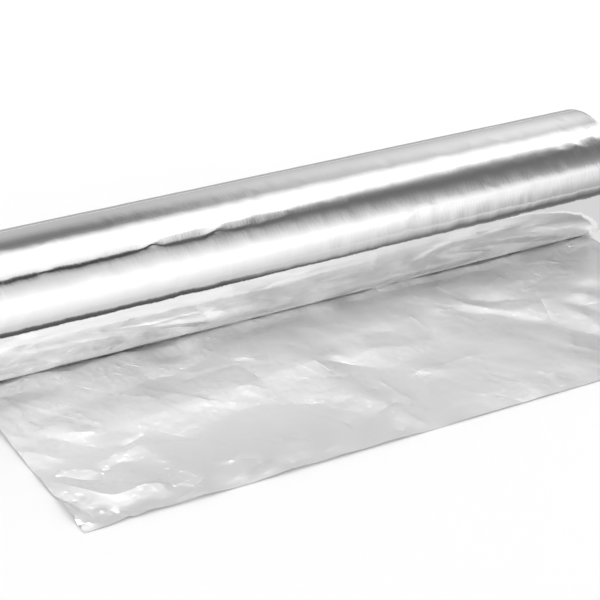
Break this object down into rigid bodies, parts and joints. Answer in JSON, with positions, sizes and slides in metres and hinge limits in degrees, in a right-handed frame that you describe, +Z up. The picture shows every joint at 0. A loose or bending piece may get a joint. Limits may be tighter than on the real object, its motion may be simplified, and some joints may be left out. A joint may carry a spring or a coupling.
{
  "type": "aluminium foil roll",
  "caption": "Roll of kitchen aluminium foil wound on a cardboard tube, lying on its side with its creased free end drawn off over the table.",
  "frame": {"origin": "on the table, under the middle of the whole part: the roll's axis is at y = +0.04135 m and z = +0.0281 m", "axes": "+X along the roll, +Y away from the free end of the foil, +Z up"},
  "size_m": [0.302, 0.1388, 0.0562],
  "materials": {
    "foil": "bright rolled outside with a fine grain round the roll, satin on the upper face of the drawn-off sheet",
    "core": "spiral-wound kraft board, matt"
  },
  "bodies": {
    "root": {"foil": "foil", "core_tube": "core"}
  },
  "joints": []
}
